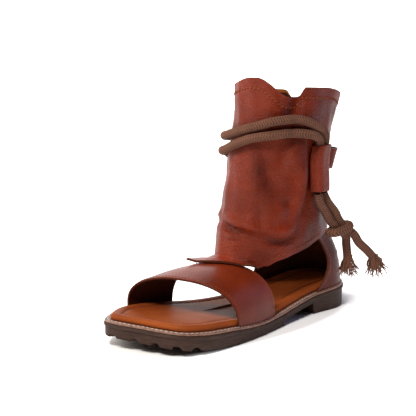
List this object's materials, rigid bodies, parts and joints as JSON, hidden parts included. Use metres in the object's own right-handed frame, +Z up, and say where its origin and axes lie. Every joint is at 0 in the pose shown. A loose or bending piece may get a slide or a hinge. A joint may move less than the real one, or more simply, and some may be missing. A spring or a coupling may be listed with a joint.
{
  "type": "gladiator sandal",
  "caption": "Left ankle-high leather gladiator sandal with open toe strap, stitched welt, lugged rubber sole and a rope tied round the shaft through leather keepers.",
  "frame": {"origin": "centre of the sole's plan at the height of the floor", "axes": "+Y from toe to heel, +X towards the outer side of the foot, +Z up"},
  "size_m": [0.1193, 0.2498, 0.2046],
  "materials": {
    "leather": "semi-gloss pebbled",
    "footbed_leather": "smooth, soft sheen",
    "rubber": "matt",
    "welt_strip": "matt",
    "rope_fibre": "braided fibre"
  },
  "bodies": {
    "root": {"outsole": "rubber", "welt": "welt_strip", "footbed": "footbed_leather", "upper": "leather", "outer_keeper": "leather", "back_keeper": "leather", "rope_wrap": "rope_fibre", "rope_drop_rear": "rope_fibre", "rope_drop_front": "rope_fibre", "rope_knot": "rope_fibre", "rope_tail_short": "rope_fibre", "rope_tail_long": "rope_fibre", "rope_fray_short": "rope_fibre", "rope_fray_long": "rope_fibre"}
  },
  "joints": []
}
